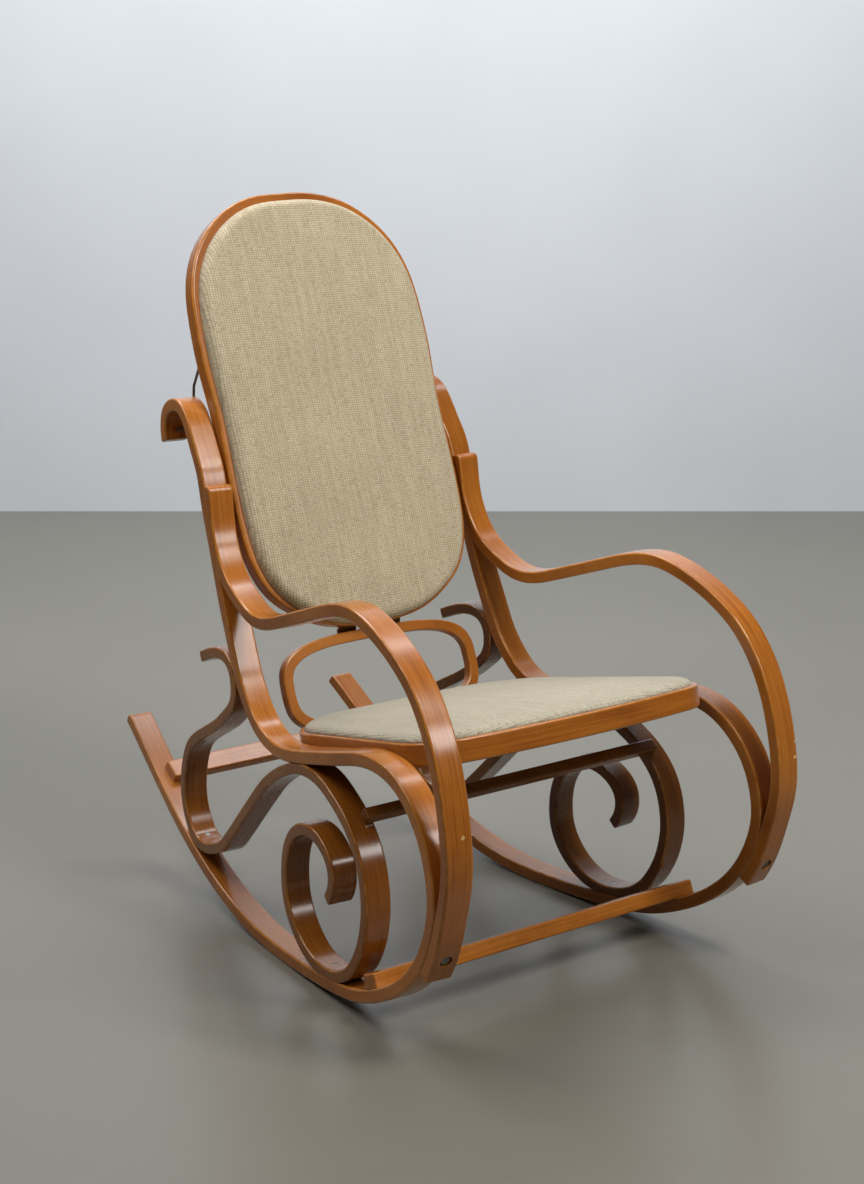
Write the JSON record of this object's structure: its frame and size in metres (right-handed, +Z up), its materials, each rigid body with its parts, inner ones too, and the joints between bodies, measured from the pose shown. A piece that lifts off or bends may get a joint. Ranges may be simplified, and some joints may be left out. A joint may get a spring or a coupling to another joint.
{
  "type": "rocking chair",
  "caption": "Bentwood rocking chair with scrolled side frames, long runners, curved armrests, and a woven-fabric seat and tall hinged back.",
  "frame": {"origin": "on the floor, on the chair's middle plane, half way between its foremost and rearmost points", "axes": "+Z up, the sitter faces -Y, +X to the sitter's left; the chair stands in its resting balance"},
  "size_m": [0.5962, 0.9829, 1.0459],
  "materials": {
    "bentwood": "honey-brown stained beech with a glossy lacquer",
    "panel": "plain plywood",
    "upholstery": "beige basket-weave tweed",
    "hardware": "dark steel"
  },
  "bodies": {
    "chair": {"left_side_rail": "bentwood", "right_side_rail": "bentwood", "left_arm": "bentwood", "right_arm": "bentwood", "left_scroll": "bentwood", "right_scroll": "bentwood", "seat_frame": "bentwood", "lower_ring": "bentwood", "front_stretcher": "bentwood", "middle_stretcher": "bentwood", "rear_stretcher": "bentwood", "seat_board": "panel", "seat_pad": "upholstery", "ring_hinge_leaves": "hardware", "hinge_pins": "hardware", "ring_hinge_screws": "hardware", "arm_foot_bolts": "hardware", "arm_top_screws": "hardware", "scroll_screws": "hardware", "stretcher_screws": "hardware", "seat_screws": "hardware", "ring_screws": "hardware"},
    "back": {"back_frame": "bentwood", "back_board": "panel", "back_pad": "upholstery", "back_hinge_leaves": "hardware", "back_hinge_screws": "hardware", "back_stay": "hardware", "stay_clips": "hardware", "clip_screws": "hardware"}
  },
  "joints": [
    {"name": "back_hinge", "type": "hinge", "parent": "chair", "child": "back", "pos_m": [0, 0.11044, 0.41891], "axis": [1, 0, 0], "range_deg": [0, 7]}
  ]
}
